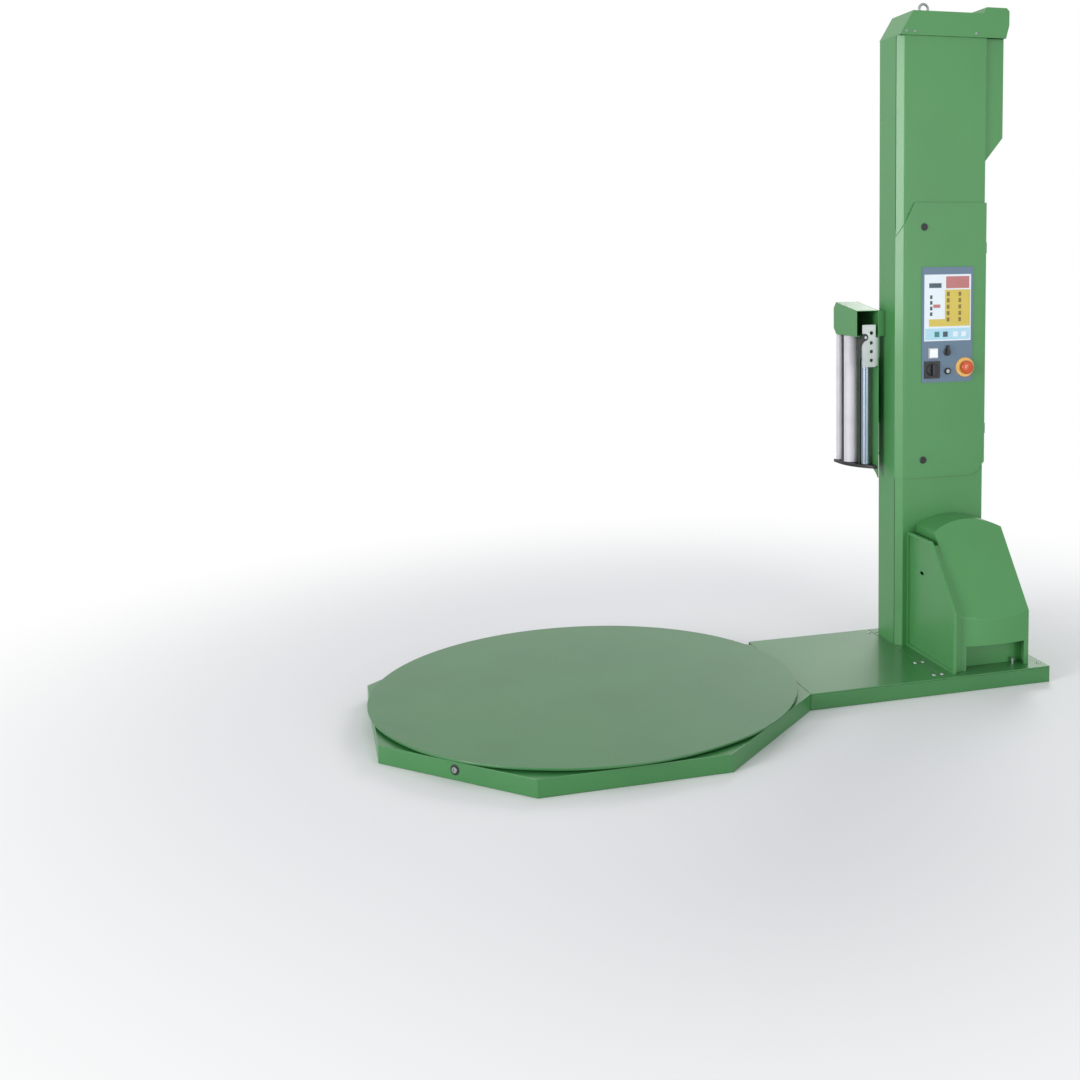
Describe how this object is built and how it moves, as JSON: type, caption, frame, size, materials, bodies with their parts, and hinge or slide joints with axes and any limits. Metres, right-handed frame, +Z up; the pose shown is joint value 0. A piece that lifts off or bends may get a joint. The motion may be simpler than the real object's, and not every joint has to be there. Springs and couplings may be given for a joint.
{
  "type": "turntable pallet wrapper",
  "caption": "Semi-automatic turntable stretch wrapper: octagonal base with a round table, link, tall cabinet column, lifting film carriage with rollers, and control panel.",
  "frame": {"origin": "on the floor under the turntable axis", "axes": "+Z up; +X along the link to the column; +Y away from the control panel side"},
  "size_m": [2.4658, 1.4998, 2.53],
  "materials": {
    "green_paint": "gloss",
    "disc_paint": "satin",
    "dark_steel": "satin",
    "zinc_steel": "brushed",
    "chain_steel": "oiled",
    "motor_grey": "satin",
    "panel_blue": "satin",
    "keypad_film": "printed",
    "white_plastic": "gloss",
    "black_plastic": "matte",
    "red_plastic": "gloss",
    "yellow_plastic": "gloss",
    "roller_rubber": "matte",
    "roller_metal": "satin",
    "wheel_plastic": "matte",
    "film": "gloss",
    "black_paint": "satin",
    "unit_grey": "matte"
  },
  "bodies": {
    "machine": {"base_pan": "green_paint", "link_frame": "green_paint", "link_cover_plate": "green_paint", "column_foot_plate": "green_paint", "bolts": "zinc_steel", "pivot_post": "zinc_steel", "wheel_brackets": "dark_steel", "drive_chain": "chain_steel", "table_gearmotor": "motor_grey", "column_shell": "green_paint", "mast_profile": "green_paint", "column_cap": "green_paint", "lifting_eye": "zinc_steel", "lift_motor_cover": "green_paint", "lift_gearmotor": "motor_grey", "lift_chain": "chain_steel", "door_hinges": "green_paint", "electrical_plate": "unit_grey", "drive_side_plate": "green_paint", "drive_hood": "green_paint", "drive_inner_panel": "green_paint"},
    "turntable": {"turntable_disc": "disc_paint", "turntable_hub": "dark_steel", "table_sprocket": "chain_steel"},
    "drive_sprocket": {"drive_sprocket": "chain_steel"},
    "lift_drive_sprocket": {"lift_drive_sprocket": "chain_steel"},
    "lift_idler_sprocket": {"lift_idler_sprocket": "chain_steel"},
    "carriage": {"carriage_frame": "green_paint", "head_box": "green_paint", "roller_base_plate": "black_paint", "roller_shafts": "zinc_steel", "guard_bars": "black_paint", "reel_spindle": "zinc_steel", "tension_bracket": "zinc_steel", "trolley": "dark_steel"},
    "trolley_wheels_upper": {"trolley_wheels_upper": "wheel_plastic"},
    "trolley_wheels_lower": {"trolley_wheels_lower": "wheel_plastic"},
    "roller_1": {"roller_1": "roller_rubber"},
    "roller_2": {"roller_2": "roller_rubber"},
    "roller_3": {"roller_3": "roller_metal"},
    "film_reel": {"film_roll": "film"},
    "tension_lever": {"tension_lever": "black_plastic"},
    "door": {"cabinet_door": "green_paint", "control_panel": "panel_blue", "keypad": "keypad_film", "main_switch_plate": "black_plastic", "stop_ring": "yellow_plastic"},
    "door_lock_upper": {"door_lock_upper": "black_plastic"},
    "door_lock_lower": {"door_lock_lower": "black_plastic"},
    "start_button": {"start_button": "white_plastic"},
    "selector_lever": {"selector_lever": "black_plastic"},
    "main_switch": {"main_switch": "black_plastic"},
    "key_switch": {"key_switch": "black_plastic"},
    "stop_button": {"stop_button": "red_plastic"},
    "table_wheel_1": {"table_wheel_1": "wheel_plastic"},
    "table_wheel_2": {"table_wheel_2": "wheel_plastic"},
    "table_wheel_3": {"table_wheel_3": "wheel_plastic"},
    "table_wheel_4": {"table_wheel_4": "wheel_plastic"},
    "table_wheel_5": {"table_wheel_5": "wheel_plastic"},
    "table_wheel_6": {"table_wheel_6": "wheel_plastic"}
  },
  "joints": [
    {"name": "turntable_spin", "type": "hinge", "parent": "machine", "child": "turntable", "pos_m": [0, 0, 0], "axis": [0, 0, 1], "continuous": true},
    {"name": "drive_sprocket_spin", "type": "hinge", "parent": "machine", "child": "drive_sprocket", "pos_m": [1.48, -0.06, 0], "axis": [0, 0, 1], "continuous": true},
    {"name": "table_wheel_1_spin", "type": "hinge", "parent": "machine", "child": "table_wheel_1", "pos_m": [0.51096, 0.295, 0.0397], "axis": [0.866, 0.5, 0], "continuous": true},
    {"name": "table_wheel_2_spin", "type": "hinge", "parent": "machine", "child": "table_wheel_2", "pos_m": [0, 0.59, 0.0397], "axis": [0, 1, 0], "continuous": true},
    {"name": "table_wheel_3_spin", "type": "hinge", "parent": "machine", "child": "table_wheel_3", "pos_m": [-0.51096, 0.295, 0.0397], "axis": [-0.866, 0.5, 0], "continuous": true},
    {"name": "table_wheel_4_spin", "type": "hinge", "parent": "machine", "child": "table_wheel_4", "pos_m": [-0.51096, -0.295, 0.0397], "axis": [-0.866, -0.5, 0], "continuous": true},
    {"name": "table_wheel_5_spin", "type": "hinge", "parent": "machine", "child": "table_wheel_5", "pos_m": [0, -0.59, 0.0397], "axis": [0, -1, 0], "continuous": true},
    {"name": "table_wheel_6_spin", "type": "hinge", "parent": "machine", "child": "table_wheel_6", "pos_m": [0.51096, -0.295, 0.0397], "axis": [0.866, -0.5, 0], "continuous": true},
    {"name": "carriage_lift", "type": "slide", "parent": "machine", "child": "carriage", "axis": [0, 0, 1], "range_m": [-0.58, 0.96]},
    {"name": "trolley_wheels_lower_spin", "type": "hinge", "parent": "carriage", "child": "trolley_wheels_lower", "pos_m": [1.441, 0.306, 0.9], "axis": [1, 0, 0], "range_deg": [-1130, 1870]},
    {"name": "trolley_wheels_upper_spin", "type": "hinge", "parent": "carriage", "child": "trolley_wheels_upper", "pos_m": [1.441, 0.306, 1.14], "axis": [1, 0, 0], "range_deg": [-1130, 1870]},
    {"name": "lift_drive_sprocket_spin", "type": "hinge", "parent": "machine", "child": "lift_drive_sprocket", "pos_m": [1.441, 0.286, 2.29], "axis": [0, 1, 0], "range_deg": [-980, 1620]},
    {"name": "lift_idler_sprocket_spin", "type": "hinge", "parent": "machine", "child": "lift_idler_sprocket", "pos_m": [1.441, 0.286, 0.15], "axis": [0, 1, 0], "range_deg": [-980, 1620]},
    {"name": "roller_1_spin", "type": "hinge", "parent": "carriage", "child": "roller_1", "pos_m": [1.152, 0.411, 1], "axis": [0, 0, 1], "continuous": true},
    {"name": "roller_2_spin", "type": "hinge", "parent": "carriage", "child": "roller_2", "pos_m": [1.174, 0.345, 1], "axis": [0, 0, 1], "continuous": true},
    {"name": "roller_3_spin", "type": "hinge", "parent": "carriage", "child": "roller_3", "pos_m": [1.199, 0.262, 1], "axis": [0, 0, 1], "continuous": true},
    {"name": "film_reel_spin", "type": "hinge", "parent": "carriage", "child": "film_reel", "pos_m": [1.478, 0.496, 1], "axis": [0, 0, 1], "continuous": true},
    {"name": "tension_lever_turn", "type": "hinge", "parent": "carriage", "child": "tension_lever", "pos_m": [1.168, 0.205, 1.262], "axis": [0, 1, 0], "range_deg": [0, 40]},
    {"name": "door_hinge", "type": "hinge", "parent": "machine", "child": "door", "pos_m": [1.629, 0.101, 1.25], "axis": [0, 0, 1], "range_deg": [0, 105]},
    {"name": "door_lock_upper_turn", "type": "hinge", "parent": "door", "child": "door_lock_upper", "pos_m": [1.364, 0.094, 1.681], "axis": [0, 1, 0], "range_deg": [0, 90]},
    {"name": "door_lock_lower_turn", "type": "hinge", "parent": "door", "child": "door_lock_lower", "pos_m": [1.364, 0.094, 0.789], "axis": [0, 1, 0], "range_deg": [0, 90]},
    {"name": "start_button_press", "type": "slide", "parent": "door", "child": "start_button", "axis": [0, 1, 0], "range_m": [0, 0.0035], "stiffness_N_per_m": 300},
    {"name": "selector_turn", "type": "hinge", "parent": "door", "child": "selector_lever", "pos_m": [1.462, 0.09, 1.204], "axis": [0, 1, 0], "range_deg": [-45, 45]},
    {"name": "main_switch_turn", "type": "hinge", "parent": "door", "child": "main_switch", "pos_m": [1.398, 0.09, 1.137], "axis": [0, 1, 0], "range_deg": [0, 90]},
    {"name": "key_switch_turn", "type": "hinge", "parent": "door", "child": "key_switch", "pos_m": [1.464, 0.09, 1.13], "axis": [0, 1, 0], "range_deg": [0, 45]},
    {"name": "stop_button_press", "type": "slide", "parent": "door", "child": "stop_button", "axis": [0, 1, 0], "range_m": [0, 0.0055], "stiffness_N_per_m": 1200}
  ],
  "couplings": [
    {"joint": "drive_sprocket_spin", "follows": "turntable_spin", "ratio": 5},
    {"joint": "table_wheel_1_spin", "follows": "turntable_spin", "ratio": -21.852},
    {"joint": "table_wheel_2_spin", "follows": "turntable_spin", "ratio": -21.852},
    {"joint": "table_wheel_3_spin", "follows": "turntable_spin", "ratio": -21.852},
    {"joint": "table_wheel_4_spin", "follows": "turntable_spin", "ratio": -21.852},
    {"joint": "table_wheel_5_spin", "follows": "turntable_spin", "ratio": -21.852},
    {"joint": "table_wheel_6_spin", "follows": "turntable_spin", "ratio": -21.852},
    {"joint": "trolley_wheels_lower_spin", "follows": "carriage_lift", "rad_per_m": 33.67},
    {"joint": "trolley_wheels_upper_spin", "follows": "carriage_lift", "rad_per_m": 33.67},
    {"joint": "lift_drive_sprocket_spin", "follows": "carriage_lift", "rad_per_m": 29.154},
    {"joint": "lift_idler_sprocket_spin", "follows": "carriage_lift", "rad_per_m": 29.154}
  ]
}
